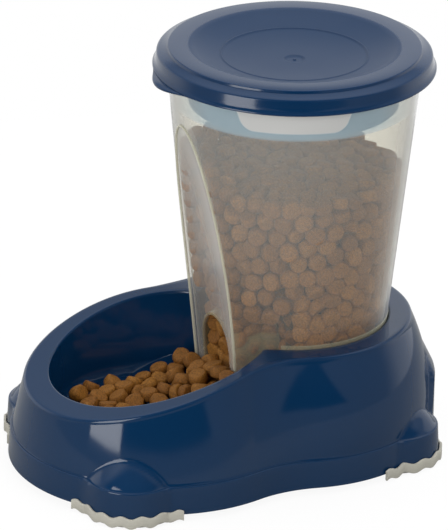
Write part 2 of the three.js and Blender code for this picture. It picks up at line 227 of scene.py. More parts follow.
front_bulge = (-lobe_spacing, bowl_lobe_r, -36.5, 32, 13)      # lobe, skirt radius, angle, radius, out
rear_bulge = (0, hopper_lobe_r + 0.8, 40.5, 32.5, 10)
bumper_r, bumper_half_angle, bumper_shoulder, bumper_slope = hopper_lobe_r + 0.8, 35, 50, 0.49
bumper_cove, bumper_edge_leans = 4, ((30, 0.2), (66, 0.9))     # degrees; from this height, degrees per mm
bulge_blend, bulge_blend_low = 0.8, 7                          # fillets above the ledge, and more below it
rim_round_out, rim_round_in = 2.4, 2.2
ray_y = -48                                       # the point that the rays leave from


def hopper_r(z):
    """radius of the hopper's cone at height z"""
    return hopper_seat_r + hopper_flare * (z - rim_high)


def facet_y(z, x=0):
    """front face of the hopper, ahead of its axis"""
    up = z - facet_height
    return -facet_ahead - facet_lean * up - facet_bow * up * up - facet_hollow * x * x


def rim_height(y):
    """top of the base's rim, which sweeps up from the bowl to the hopper"""
    t = np.clip((y + rim_run_start) / (rim_run_start - rim_run_end), 0, 1)
    return rim_low + (rim_high - rim_low) * t * t * (3 - 2 * t)


def soft_max(a, b, blend):
    """the larger of two, with a fillet where they cross"""
    share = np.clip(0.5 + 0.5 * (a - b) / blend, 0, 1)
    return b * (1 - share) + a * share + blend * share * (1 - share)


def far_side(rays, x, y, r, near=False):
    """where level rays leave a circle, measured along each ray; 0 where they miss it"""
    along = rays[:, 0] * x + rays[:, 1] * (y - ray_y)
    inside = along ** 2 - x ** 2 - (y - ray_y) ** 2 + r ** 2
    half_chord = np.sqrt(np.maximum(inside, 0))
    return np.where(inside > 0, along - half_chord if near else along + half_chord, 0)


to_hopper, to_bowl = hopper_lobe_r + waist_r, bowl_lobe_r + waist_r
waist_y = (to_bowl ** 2 - to_hopper ** 2 - lobe_spacing ** 2) / (2 * lobe_spacing)
waist_x = math.sqrt(to_hopper ** 2 - waist_y ** 2)
bowl_tangent = math.atan2(waist_y + lobe_spacing, waist_x)
hopper_tangent = math.atan2(waist_y, waist_x)


def lobes_reach(rays, inset):
    """the figure of eight: two lobes and the concave waists between them"""
    half_rays = np.column_stack([np.abs(rays[:, 0]), rays[:, 1]])
    lobes = np.maximum(far_side(rays, 0, 0, hopper_lobe_r - inset),
                       far_side(rays, 0, -lobe_spacing, bowl_lobe_r - inset))
    waist = far_side(half_rays, waist_x, waist_y, waist_r + inset, near=True)
    r = hopper_lobe_r - inset
    last = np.arctan2(r * math.sin(hopper_tangent) - ray_y, r * math.cos(hopper_tangent))
    r = bowl_lobe_r - inset
    first = np.arctan2(r * math.sin(bowl_tangent) - lobe_spacing - ray_y, r * math.cos(bowl_tangent))
    angle = np.arctan2(half_rays[:, 1], half_rays[:, 0])
    return np.where((angle > first) & (angle < last), waist, lobes)


def outer_reach(rays, z, ledge, inset=0):
    """plan reach of the base's outside at height z; ledge goes from 0 on the skirt to 1 above it"""
    skirt_in = skirt_lean * (np.minimum(z, skirt_top) - skirt_foot) + ledge_width * ledge
    above = np.maximum(z - skirt_top, 0)
    swell = wall_swell * np.clip(1 - (above / swell_above - 1) ** 2, 0, 1)
    swell = swell * np.clip(0.3 + 1.4 * rays[:, 1], 0, 1)          # around the hopper only
    wall = lobes_reach(rays, skirt_in + wall_lean * above + wall_bow * above ** 2 - swell + inset)
    blend = bulge_blend + bulge_blend_low * (1 - np.clip(ledge + np.maximum(z - skirt_top + 1, 0), 0, 1))
    for lobe_y, skirt_r, bearing, r, out in (front_bulge, rear_bulge):
        centre = skirt_r + out - r
        x = centre * math.cos(math.radians(bearing))
        y = lobe_y + centre * math.sin(math.radians(bearing))
        radius = np.maximum(r - skirt_in - bulge_cone_lean * above - bulge_cone_bow * above ** 2 - inset, 0.1)
        for side in (-1, 1):
            wall = soft_max(wall, far_side(rays, side * x, y, radius), blend)
    bumper = far_side(rays, 0, 0, bumper_r - inset - bumper_slope * np.maximum(z - bumper_shoulder, 0))
    angle = np.degrees(np.arctan2(np.abs(rays[:, 0]) * bumper, rays[:, 1] * bumper + ray_y))
    half_angle = bumper_half_angle
    for start, lean in bumper_edge_leans:
        half_angle = half_angle - lean * np.maximum(z - start, 0)
    cove = np.clip((half_angle + bumper_cove - angle) / bumper_cove, 0, 1) ** 2
    window = 0.25 * cove + 0.75 * np.clip((half_angle + 0.5 - angle) / 1, 0, 1)
    return wall + window * (np.maximum(wall, bumper) - wall)


def inner_reach(rays, z, inset=0):
    """plan reach of the bowl and the well, which open into each other, at height z"""
    shrink = bowl_wall_lean * (bowl_radius_height - z) - inset
    half_x, half_y = bowl_half_width - shrink, bowl_half_length - shrink
    dx, dy, oy = rays[:, 0] / half_x, rays[:, 1] / half_y, (ray_y + bowl_ahead) / half_y
    a, b, c = dx * dx + dy * dy, dy * oy, oy * oy - 1
    bowl = (-b + np.sqrt(b * b - a * c)) / a
    well = far_side(rays, 0, 0, hopper_r(z) + well_clearance + inset)
    return soft_max(bowl, well, 2.5)


def floor_height(x, y):
    """bowl floor, ramp, and the well's floor behind the hopper's front face"""
    slope = (ramp_top - bowl_floor) / (ramp_start_ahead - facet_ahead)
    ramp = np.clip(bowl_floor + slope * (y + ramp_start_ahead), bowl_floor, ramp_top)
    behind = np.clip((y - facet_y(well_floor, x) + well_clearance) / 0.8 + 0.5, 0, 1)
    return ramp + (well_floor - ramp) * behind * behind * (3 - 2 * behind)


def base_rows(rays, inset, fine):
    """rings of the base's skin, nearly level, from the foot of the skirt to the middle of its floor"""
    count = len(rays)
    rows = []

    def add(reach, z):
        rows.append(np.column_stack([rays[:, 0] * reach, ray_y + rays[:, 1] * reach, z + np.zeros(count)]))

    def y_at(reach):
        return ray_y + rays[:, 1] * reach

    top = skirt_top - inset
    for z in np.linspace(skirt_foot, top - 0.8, 6 if fine else 2):
        add(outer_reach(rays, np.full(count, z), 0, inset), z)
    for drop, ledge in ((-0.3, 0.06), (-0.08, 0.2), (0, 0.42), (0, 0.9), (0.25, 1)):
        add(outer_reach(rays, np.full(count, top + drop), ledge, inset), top + drop)

    round_out = max(rim_round_out - inset, 0.6)
    wall_top = np.full(count, 60.0)
    for _ in range(12):
        wall_top = rim_height(y_at(outer_reach(rays, wall_top, 1, inset))) - inset - round_out
    for f in np.linspace(0, 1, 34 if fine else 12)[1:]:
        z = top + 0.25 + f * (wall_top - top - 0.25)
        add(outer_reach(rays, z, 1, inset), z)
    edge = outer_reach(rays, wall_top, 1, inset)
    turn = np.linspace(0, math.pi / 2, 8 if fine else 3)
    for a in turn[1:]:
        reach = edge - round_out * (1 - math.cos(a))
        add(reach, rim_height(y_at(reach)) - inset - round_out * (1 - math.sin(a)))

    round_in = max(rim_round_in - inset, 0.4)
    lip = np.full(count, 60.0)
    for _ in range(12):
        lip = rim_height(y_at(inner_reach(rays, lip, inset))) - inset - round_in
    lip_reach = inner_reach(rays, lip, inset)
    band_out, band_in = edge - round_out, lip_reach + round_in
    for f in np.linspace(0, 1, 6 if fine else 3)[1:-1]:
        reach = band_out + f * (band_in - band_out)
        add(reach, rim_height(y_at(reach)) - inset)
    for a in turn[::-1]:
        reach = lip_reach + round_in * (1 - math.cos(a))
        add(reach, rim_height(y_at(reach)) - inset - round_in * (1 - math.sin(a)))

    foot = np.full(count, 45.0)
    for _ in range(12):
        reach = inner_reach(rays, foot, inset)
        ground = floor_height(rays[:, 0] * reach, y_at(reach))
        fillet = np.clip(bowl_fillet - (ground - bowl_floor), 0.8, bowl_fillet)
        foot = ground - inset + fillet
    for f in np.linspace(0, 1, 24 if fine else 8)[1:]:
        z = lip + f * (foot - lip)
        add(inner_reach(rays, z, inset), z)
    foot_reach = inner_reach(rays, foot, inset)
    for a in turn[1:]:
        reach = foot_reach - fillet * (1 - math.cos(a))
        z = floor_height(rays[:, 0] * reach, y_at(reach)) - inset + fillet * (1 - math.sin(a))
        add(reach, z)

    start = foot_reach - fillet
    bend, gap = facet_hollow * rays[:, 0] ** 2, ray_y - facet_y(well_floor) + well_clearance
    root = rays[:, 1] ** 2 - 4 * bend * gap
    step = 2 * gap / np.maximum(np.sqrt(np.maximum(root, 0)) - rays[:, 1], 1e-3)
    step = np.where((rays[:, 1] < 0) & (root > 0), step, 1e3)
    step = np.minimum(step, start - 1)
    stops = [start + f * (step + 0.7 - start) for f in np.linspace(0, 1, 12 if fine else 5)[1:]]
    stops += [step + 0.25, step - 0.25, step - 0.7]
    stops += [(step - 0.7) * f for f in (0.75, 0.5, 0.25, 0.08)]
    for reach in stops:
        add(reach, floor_height(rays[:, 0] * reach, y_at(reach)) - inset)
    return rows


def turn_outwards(mesh):
    """turns all faces of a closed mesh outwards"""
    shaping = bmesh.new()
    shaping.from_mesh(mesh)
    bmesh.ops.recalc_face_normals(shaping, faces=shaping.faces)
    shaping.to_mesh(mesh)
    shaping.free()


def mesh_piece(name, vertices, faces, material, sharp=40):
    """A smooth piece from corners in mm around the hopper's axis, with its faces turned outwards."""
    points = (np.asarray(vertices, float) + [0, AXIS_Y, 0]) * MM
    mesh = bpy.data.meshes.new(name)
    mesh.from_pydata(points.tolist(), [], [tuple(map(int, face)) for face in faces])
    turn_outwards(mesh)
    mesh.shade_smooth()
    mesh.set_sharp_from_angle(angle=math.radians(sharp))
    mesh.materials.append(material)
    piece = bpy.data.objects.new(name, mesh)
    scene.collection.objects.link(piece)
    return piece


def rings(rows, poles=True):
    """Corners and faces of a closed skin over rings with equal numbers of points."""
    count = len(rows[0])
    vertices = np.concatenate(rows)
    levels = np.arange(len(rows) * count).reshape(len(rows), count)
    if not poles:
        levels = np.vstack([levels, levels[:1]])
    a, b = levels[:-1], levels[1:]
    faces = np.stack([a, np.roll(a, -1, 1), np.roll(b, -1, 1), b], axis=2).reshape(-1, 4).tolist()
    if poles:
        vertices = np.vstack([vertices, rows[0].mean(0), rows[-1].mean(0)])
        for ring, pole in ((levels[0], len(vertices) - 2), (levels[-1], len(vertices) - 1)):
            faces += [(ring[i], ring[(i + 1) % count], pole) for i in range(count)]
    return vertices, faces


def even_rays(count):
    """rays whose ends are evenly spaced along the skirt"""
    angle = np.linspace(-math.pi / 2, 1.5 * math.pi, 2881)
    rays = np.column_stack([np.cos(angle), np.sin(angle)])
    reach = outer_reach(rays, np.full(len(rays), 10.0), 0)
    ends = rays * reach[:, None]
    run = np.concatenate([[0], np.cumsum(np.linalg.norm(np.diff(ends, axis=0), axis=1))])
    angle = np.interp(np.arange(count) / count * run[-1], run, angle)
    return np.column_stack([np.cos(angle), np.sin(angle)])


def moulded_navy(name, colours, roughness, matt_within=0):
    """Polypropylene moulded in a polished steel tool: glossy, so it mirrors the room, with a very
    slight ripple from shrinkage, and a fine bloom, drawn as coarse as it needs to show, in the
    colour and the skin. Within a radius of the hopper's axis the tool was left matt, which
    spreads the reflections."""
    ripple_size, bloom_size = 500 / 13, 10 / 9                 # mm
    material, tree = new_material(name)
    place = add_node(tree, "ShaderNodeTexCoord").outputs["Object"]
    ripple = add_node(tree, "ShaderNodeTexNoise", {"Vector": place, "Scale": 1 / (ripple_size * MM),
                                                   "Detail": 2.0})
    bloom = add_node(tree, "ShaderNodeTexNoise", {"Vector": place, "Scale": 1 / (bloom_size * MM),
                                                  "Detail": 3.0})
    low = add_node(tree, "ShaderNodeBump", {"Height": ripple, "Strength": 0.12, "Distance": 0.8 * MM})
    fine = add_node(tree, "ShaderNodeBump", {"Height": bloom, "Strength": 0.05, "Distance": 0.06 * MM,
                                             "Normal": low})
    gloss = add_node(tree, "ShaderNodeMapRange", {"Value": ripple, "To Min": roughness - 0.02,
                                                  "To Max": roughness + 0.03})
    if matt_within:
        plan = add_node(tree, "ShaderNodeVectorMath", {0: place, 1: (1, 1, 0)}, operation="MULTIPLY")
        radius = add_node(tree, "ShaderNodeVectorMath", {0: plan, 1: (0, AXIS_Y * MM, 0)},
                          operation="DISTANCE").outputs["Value"]
        matt = add_node(tree, "ShaderNodeMapRange", {"Value": radius, "From Min": (matt_within + 1) * MM,
                                                     "From Max": (matt_within + 2.5) * MM, "To Min": 0.3,
                                                     "To Max": 0.0})
        gloss = add_node(tree, "ShaderNodeMath", {0: gloss, 1: matt}, operation="ADD")
    shade = add_node(tree, "ShaderNodeMixRGB", {"Fac": bloom, "Color1": linear(colours[0]),
                                                "Color2": linear(colours[1])})
    skin = add_node(tree, "ShaderNodeBsdfPrincipled", {"Base Color": shade, "IOR": 1.49, "Roughness": gloss,
                                                       "Normal": fine})
    add_node(tree, "ShaderNodeOutputMaterial", {0: skin})
    return material


base_navy = moulded_navy("moulded_navy_polypropylene", ("#072c4e", "#093054"), 0.075)
skirt_rays = even_rays(480)
outside = base_rows(skirt_rays, 0, True)
underside = base_rows(skirt_rays, base_wall, False)
base = mesh_piece("base", *rings(underside[::-1] + outside), base_navy)
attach(base, "base")
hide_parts("base_shell")


# ---- foot strips ----------------------------------------------------------------------------
# Four strips of soft grey thermoplastic rubber, moulded with a wavy edge and pressed on over the
# skirt's foot at each corner; a flat pad inside each one carries the feeder.
strip_out, strip_half_angle, strip_low, strip_high = 2.3, {"front": 21.5, "rear": 24.5}, 1.2, 8.2
wave_height, wave_count, pad_depth, strip_round = 1.0, 6.5, 9, 0.55

# thermoplastic rubber from a blasted tool: matt, with a grain drawn as coarse as it needs to show
grain_size = 10 / 7                               # mm
rubber, tree = new_material("grey_thermoplastic_rubber")
place = add_node(tree, "ShaderNodeTexCoord").outputs["Object"]
grain = add_node(tree, "ShaderNodeTexNoise", {"Vector": place, "Scale": 1 / (grain_size * MM), "Detail": 4.0})
shade = add_node(tree, "ShaderNodeMixRGB", {"Fac": grain, "Color1": linear("#b9b6ab"),
                                            "Color2": linear("#c4c1b5")})
matt = add_node(tree, "ShaderNodeBump", {"Height": grain, "Strength": 0.35, "Distance": 0.2 * MM})
skin = add_node(tree, "ShaderNodeBsdfPrincipled", {"Base Color": shade, "Roughness": 0.62, "Normal": matt})
add_node(tree, "ShaderNodeOutputMaterial", {0: skin})


def corner_edge(front, angles, extra):
    """plan line around a corner of the skirt, `extra` mm outside it"""
    lobe_y, skirt_r, bearing, r, out = front_bulge if front else rear_bulge
    centre = skirt_r + out - r
    across = np.abs(centre * np.sin(angles))
    disc = np.where(across < r, centre * np.cos(angles) + np.sqrt(np.maximum(r * r - across ** 2, 0)), 0)
    reach = np.maximum(skirt_r, disc) + extra
    turned = angles + math.radians(bearing)
    return np.column_stack([reach * np.cos(turned), lobe_y + reach * np.sin(turned)])


def foot_strip(corner, side):
    """one strip: a wavy ribbon outside the skirt and, a little shorter, the pad under it"""
    stations, pad_from = 150, 18                  # steps along the ribbon, and where the pad starts
    angles = np.radians(np.linspace(-1, 1, stations + 1) * strip_half_angle[corner])
    near, far = (corner_edge(corner == "front", angles, extra) for extra in (rest_gap, strip_out))
    wave = wave_height * np.sin(np.linspace(0, 2 * math.pi * wave_count, stations + 1))
    outline = []                                  # the ribbon's section: each corner, and its rounding
    for across, up, turn in ((0, 0, 180), (1, 0, 270), (1, 1, 0), (0, 1, 90)):
        for a in np.radians([turn, turn + 45, turn + 90]):
            outline.append((across, up, math.cos(a), math.sin(a)))
    out = far - near
    out /= np.linalg.norm(out, axis=1)[:, None]
    rows = []
    for across, up, c, s in outline:
        edge = near + (far - near) * across
        edge = edge + out * strip_round * (c + (1 if across == 0 else -1))
        level = (strip_low, strip_high)[up] + wave + strip_round * (s + (-1 if up else 1))
        rows.append(np.column_stack([edge, level]))
    ribbon = np.stack(rows, axis=1)
    vertices, faces = rings(list(ribbon))
    outer, inner = (corner_edge(corner == "front", angles[pad_from:-pad_from:3], extra)
                    for extra in (-1.5, -pad_depth))
    plan = np.vstack([outer, inner[::-1]])
    pad = [np.column_stack([plan, np.full(len(plan), z)]) for z in (0.0, skirt_foot - rest_gap)]
    count, first = len(pad[0]), len(vertices)
    vertices = np.vstack([vertices] + pad)
    faces += [(first + i, first + (i + 1) % count, first + count + (i + 1) % count, first + count + i)
              for i in range(count)]
    faces += [tuple(range(first, first + count)), tuple(range(first + count, first + 2 * count))]
    name = f"foot_{corner}_{side}"
    piece = mesh_piece("strip_" + name, vertices * [1 if side == "right" else -1, 1, 1], faces, rubber)
    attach(piece, "base")
    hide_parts(name)


for corner in ("front", "rear"):
    for side in ("right", "left"):
        foot_strip(corner, side)


# ---- hopper ---------------------------------------------------------------------------------
# One thin moulding of natural polypropylene, see-through with a milky haze: a cone with a flat,
# slightly hollow front, an arched outlet with a hood behind it, a sloping floor, and beads along
# the front's edges, over the base's rim and around the top.
hopper_top, hopper_wall, bead_out, bead_high = 280.6, 2, 3.4, 3.2
outlet_half_width, outlet_top = 21.6, well_floor + 52
hood_depth, hood_splay, hood_lift, hood_wall = 31, 0.3, 0.5, 1.6
floor_front, floor_slope = well_floor + 7, 0.36
seat_bead_from, seat_bead_fade = 60, 16                        # degrees from the middle of the front
panel_bearing, panel_half_width, panel_foot, panel_corner, panel_flare = -25.5, 33.5, 255.5, 7, 0.36
# heights where the painted bluish shade of the plug ring starts and is full, then distances from the axis
# over which it grows
plug_shade_foot, plug_shade_full, broad_from, broad_full = 249.2, 252, 28, 62


def natural_polypropylene(name, haze, milk_colour="#ecedec", is_wall=False):
    """Natural polypropylene: crystals in it scatter light, so it looks milky, and milkier where it is
    thick or seen at a slant. The wall is drawn hazier the higher up, a painted glow above the food,
    and on its broad sides a band level with the lid's plug ring is painted bluish and hazier, as
    painted shade of the navy plug seen through the wall. At the front right, under the top bead, a
    panel with rounded corners has a fine matt texture, and looks white."""
    streak_size = 500 / 7                                      # mm, of the streaks that the melt left
    material, tree = new_material(name)
    place = add_node(tree, "ShaderNodeTexCoord").outputs["Object"]
    height = add_node(tree, "ShaderNodeSeparateXYZ", {0: place}).outputs["Z"]
    grazing = add_node(tree, "ShaderNodeLayerWeight", {"Blend": 0.5}).outputs["Facing"]
    slant = add_node(tree, "ShaderNodeMath", {0: grazing, 1: 5.0}, operation="POWER")
    # painted glow: the haze grows with height, so the wall looks brighter high up, above the food
    amount = add_node(tree, "ShaderNodeMapRange", {"Value": height, "From Min": 0.10, "From Max": 0.24,
                                                   "To Min": haze, "To Max": haze + (0.11 if is_wall else 0)})
    amount = add_node(tree, "ShaderNodeMath", {0: slant, 1: 1.2, 2: amount}, operation="MULTIPLY_ADD")
    flow = add_node(tree, "ShaderNodeTexNoise", {"Vector": place, "Scale": 1 / (streak_size * MM),
                                                 "Detail": 3.0})
    varied = add_node(tree, "ShaderNodeMapRange", {"Value": flow, "To Min": 0.92, "To Max": 1.08})
    amount = add_node(tree, "ShaderNodeMath", {0: amount, 1: varied}, operation="MULTIPLY", use_clamp=True)
    scatter_colour = linear(milk_colour)
    if is_wall:
        bearing = math.radians(panel_bearing)
        face, sidewards = (Vector((math.cos(a), math.sin(a), 0)) for a in (bearing, bearing + math.pi / 2))
        from_axis = add_node(tree, "ShaderNodeVectorMath", {0: place, 1: (0, AXIS_Y * MM, 0)},
                             operation="SUBTRACT")
        ahead, across = (add_node(tree, "ShaderNodeVectorMath", {0: from_axis, 1: way},
                                  operation="DOT_PRODUCT").outputs["Value"] for way in (face, sidewards))
        either_way, across = (add_node(tree, "ShaderNodeMath", {0: value}, operation="ABSOLUTE")
                              for value in (ahead, across))
        # painted shade: level with the lid's navy plug ring the milk is tinted bluish and made hazier, for
        # the plug seen through the wall
        broad = add_node(tree, "ShaderNodeMapRange", {"Value": either_way, "From Min": broad_from * MM,
                                                      "From Max": broad_full * MM})
        plug_shade = add_node(tree, "ShaderNodeMapRange", {"Value": height, "From Min": plug_shade_foot * MM,
                                                     "From Max": plug_shade_full * MM, "To Max": broad},
                        interpolation_type="SMOOTHSTEP")
        scatter_colour = add_node(tree, "ShaderNodeMixRGB", {"Fac": plug_shade, "Color1": scatter_colour,
                                                        "Color2": linear("#cbe3f0")})
        amount = add_node(tree, "ShaderNodeMath", {0: plug_shade, 1: 0.26, 2: amount}, operation="MULTIPLY_ADD")
        # the panel is where the distance past its sides and foot, less its corners, is small
        side = (panel_flare * panel_foot - panel_half_width + panel_corner) * MM
        past_side = add_node(tree, "ShaderNodeMath", {0: height, 1: -panel_flare, 2: side},
                             operation="MULTIPLY_ADD")
        past_side = add_node(tree, "ShaderNodeMath", {0: across, 1: past_side}, operation="ADD")
        past_foot = add_node(tree, "ShaderNodeMath", {0: (panel_foot + panel_corner) * MM, 1: height},
                             operation="SUBTRACT")
        past_side, past_foot = (add_node(tree, "ShaderNodeMath", {0: past, 1: 0.0}, operation="MAXIMUM")
                                for past in (past_side, past_foot))
        corner = add_node(tree, "ShaderNodeCombineXYZ", {0: past_side, 1: past_foot})
        corner = add_node(tree, "ShaderNodeVectorMath", {0: corner}, operation="LENGTH").outputs["Value"]
        panel = add_node(tree, "ShaderNodeMapRange", {"Value": corner, "From Min": (panel_corner - 0.7) * MM,
                                                      "From Max": (panel_corner + 0.3) * MM, "To Min": 1.0,
                                                      "To Max": 0.0})
        in_front = add_node(tree, "ShaderNodeMath", {0: ahead, 1: 0.0}, operation="GREATER_THAN")
        panel = add_node(tree, "ShaderNodeMath", {0: panel, 1: in_front}, operation="MULTIPLY")
        amount = add_node(tree, "ShaderNodeMath", {0: panel, 1: 0.62, 2: amount}, operation="MULTIPLY_ADD",
                          use_clamp=True)
    milk = add_node(tree, "ShaderNodeBsdfDiffuse", {"Color": scatter_colour})
    glow = add_node(tree, "ShaderNodeBsdfTranslucent", {"Color": linear("#f6f2e6")})
    milky = add_node(tree, "ShaderNodeMixShader", {0: 0.12, 1: milk, 2: glow})
    if is_wall:
        matt = add_node(tree, "ShaderNodeBsdfDiffuse", {"Color": linear("#c9c9c7")})
        milky = add_node(tree, "ShaderNodeMixShader", {0: panel, 1: milky, 2: matt})
    rays = add_node(tree, "ShaderNodeLightPath")
    passes = add_node(tree, "ShaderNodeMixRGB", {"Fac": rays.outputs["Is Shadow Ray"],
                                                 "Color1": linear("#fdfcf7"), "Color2": linear("#f6f5f0")})
    lets = add_node(tree, "ShaderNodeBsdfTransparent", {"Color": passes})
    body = add_node(tree, "ShaderNodeMixShader", {0: amount, 1: lets, 2: milky})
    sheen = add_node(tree, "ShaderNodeFresnel", {"IOR": 1.4})
    inside = add_node(tree, "ShaderNodeNewGeometry").outputs["Backfacing"]
    outside_only = add_node(tree, "ShaderNodeMath", {0: 1.0, 1: inside}, operation="SUBTRACT")
    sheen = add_node(tree, "ShaderNodeMath", {0: sheen, 1: outside_only}, operation="MULTIPLY")
    gloss = add_node(tree, "ShaderNodeBsdfGlossy", {"Color": linear("#ffffff"), "Roughness": 0.22})
    skin = add_node(tree, "ShaderNodeMixShader", {0: sheen, 1: body, 2: gloss})
    add_node(tree, "ShaderNodeOutputMaterial", {0: skin})
    return material


frosted = natural_polypropylene("natural_polypropylene", 0.065, is_wall=True)
cream = natural_polypropylene("natural_polypropylene_thick", 0.6, "#dddcc9")
hazy = natural_polypropylene("natural_polypropylene_inside", 0.22, "#cbbb8e")
greenish = natural_polypropylene("natural_polypropylene_seat", 0.2, "#d3d3bb")


def soft_min(a, b, blend):
    """the smaller of two, with a fillet where they cross"""
    return -soft_max(-a, -b, blend)


def hopper_row(angle, z, inset):
    """ring of the hopper's outside at height z, `inset` mm into its wall"""
    z = z + np.zeros(len(angle))
    cone = hopper_r(z) - inset
    ahead = -np.sin(angle)
    flat = facet_y(z) + inset
    bend = facet_hollow * np.cos(angle) ** 2
    root = ahead ** 2 + 4 * bend * flat
    face = 2 * -flat / np.maximum(ahead + np.sqrt(np.maximum(root, 0)), 1e-3)
    face = np.where((ahead > 0.05) & (root > 0), face, 1e3)
    reach = soft_min(cone, face, 3.0)
    return np.column_stack([reach * np.cos(angle), reach * np.sin(angle), z])


def arch_row(ahead, grow):
    """arched section of the way out, at a distance ahead of the hopper's axis"""
    inwards = max(0, facet_ahead - ahead)
    half = outlet_half_width + hood_splay * inwards + grow
    top = outlet_top + hood_lift * inwards + grow
    turn = np.linspace(0, math.pi, 33)
    x = np.concatenate([[-half, half], half * np.cos(turn)])
    z = np.concatenate([[floor_front, floor_front], top - half + half * np.sin(turn)])
    return np.column_stack([x, np.full(len(x), -ahead), z])


around = np.linspace(-math.pi / 2, 1.5 * math.pi, 361)[:-1]
heights = np.linspace(well_floor + rest_gap, hopper_top - bead_high, 80)
outer_rows = [hopper_row(around, z, 0) for z in heights]
bead_r = hopper_r(hopper_top) + bead_out
ring = np.column_stack([np.cos(around), np.sin(around)])
for r, z in ((bead_r - 0.5, heights[-1]), (bead_r, heights[-1] + 0.5), (bead_r, hopper_top - 0.5),
             (bead_r - 0.5, hopper_top), (hopper_r(hopper_top) - hopper_wall + 0.4, hopper_top)):
    outer_rows.append(np.column_stack([ring * r, np.full(len(ring), z)]))
inner_rows = [hopper_row(around, z, hopper_wall) for z in np.linspace(hopper_top - 0.4, heights[0], 60)]
hopper = mesh_piece("hopper_wall", *rings(outer_rows + inner_rows, poles=False), frosted)
outlet_rows = [arch_row(ahead, 0) for ahead in (facet_ahead - 8, facet_ahead, 70)]
outlet_space = mesh_piece("outlet_space", *rings(outlet_rows), frosted)
cut = hopper.modifiers.new("outlet", "BOOLEAN")
cut.operation, cut.solver, cut.object = "DIFFERENCE", "EXACT", outlet_space
shaped = bpy.data.meshes.new_from_object(hopper.evaluated_get(bpy.context.evaluated_depsgraph_get()))
hopper.modifiers.clear()
hopper.data = shaped
bpy.data.objects.remove(outlet_space)
hopper.data.set_sharp_from_angle(angle=math.radians(40))

hood_rows = []                                    # an arched sheet from the face inwards
depths = np.linspace(-0.4, hood_depth, 8)
for grow, order in ((0, depths), (hood_wall, depths[::-1])):
    for depth in order:
        row = arch_row(facet_ahead - depth, grow)
        row[:2, 2] -= grow
        row[:, 1] = depth - facet_ahead + (1 - depth / hood_depth) * (facet_y(row[:, 2]) + facet_ahead)
        hood_rows.append(row)
hood = mesh_piece("hopper_hood", *rings(hood_rows, poles=False), hazy)

plate_rows = []                                   # the sloping floor, with a rim against the wall
for lift, inset in ((-hood_wall, 20), (-hood_wall, hopper_wall + 0.1), (0, hopper_wall + 0.1), (0, 20)):
    level = np.full(len(around[::3]), 70.0)
    for _ in range(20):
        row = hopper_row(around[::3], level, inset)
        level = floor_front + floor_slope * (row[:, 1] + facet_ahead)
    row[:, 2] += lift
    plate_rows.append(row)
plate = mesh_piece("hopper_floor", *rings(plate_rows), frosted)

edge_heights = np.linspace(well_floor + 2, 239.6, 90)


def edge_x(z):
    """half width of the flat front at height z, where it meets the cone"""
    low, high = 0.0, 70.0
    for _ in range(40):
        middle = (low + high) / 2
        inside = hopper_r(z) ** 2 > middle ** 2 + facet_y(z, middle) ** 2
        low, high = (middle, high) if inside else (low, middle)
    return low


half_edge = np.array([(edge_x(z), facet_y(z, edge_x(z)), z) for z in edge_heights])
path = np.vstack([half_edge, [(0, -hopper_r(240.6), 240.6)], half_edge[::-1] * [-1, 1, 1]])
along = np.gradient(path, axis=0)
along /= np.linalg.norm(along, axis=1)[:, None]
out = path * [1, 1, 0]
out -= np.einsum("ij,ij->i", out, along)[:, None] * along
out /= np.linalg.norm(out, axis=1)[:, None]
side = np.cross(along, out)
bead_rows = [path - out * 0.4 + 0.9 * math.cos(a) * side + 0.9 * math.sin(a) * out
             for a in np.linspace(0, 2 * math.pi, 13)[:-1]]
bead = mesh_piece("hopper_edge_bead", *rings(list(np.stack(bead_rows, axis=1))), cream)
seat_rows = []                                    # a low bead that stands on the base's rim
sweep = np.linspace(seat_bead_from, 360 - seat_bead_from, 200)
from_end = np.minimum(sweep, 360 - sweep) - seat_bead_from
shrink = 1 - 0.5 * np.clip(1 - from_end / seat_bead_fade, 0, 1) / 68      # its ends sink into the wall
for inset, up in ((0.2, -1.4), (-0.3, -1.1), (-0.3, 1.7), (0.2, 2.2)):
    row = hopper_row(np.radians(sweep - 90), rim_high + up, inset)
    seat_rows.append(row * np.column_stack([shrink, shrink, np.ones(200)]))
seat = mesh_piece("hopper_seat_bead", *rings(list(np.stack(seat_rows, axis=1))), greenish)
for piece in (hopper, hood, plate, bead, seat):
    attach(piece, "hopper")
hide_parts("hopper")


# ---- lid ------------------------------------------------------------------------------------
# A press-on cap of the same navy polypropylene, turned in shape: a shallow dish inside a raised
# plateau, a skirt with a flared flange, a plug ring that centres it, and a lip in front.
lid_rise, lid_wall, lid_clearance, dish_r, dish_depth, dish_power = 6.4, 2, 0.7, 70, 10, 3.3
plateau_inset, plateau_step, shoulder_drop, skirt_drop, flange_drop, plug_drop = 7.4, 2.2, 4, 9.8, 14.4, 40
flange_out, plug_r, tab_out, tab_half_angle, tab_drop = 2.6, 71, 6.2, 19, 1.7


def lid_dish(r, top):
    """height of the dish, with a raised ring and the sunk gate mark in the middle"""
    plain = top - dish_depth * (1 - (r / dish_r) ** dish_power)
    bead = 0.7 * np.exp(-((r - 49.4) / 0.8) ** 2)
    gate = -0.8 * np.clip((7.2 - r) / 1.6, 0, 1)
    nub = 0.6 * np.clip((1.3 - r) / 0.5, 0, 1)
    return plain + bead + gate + nub


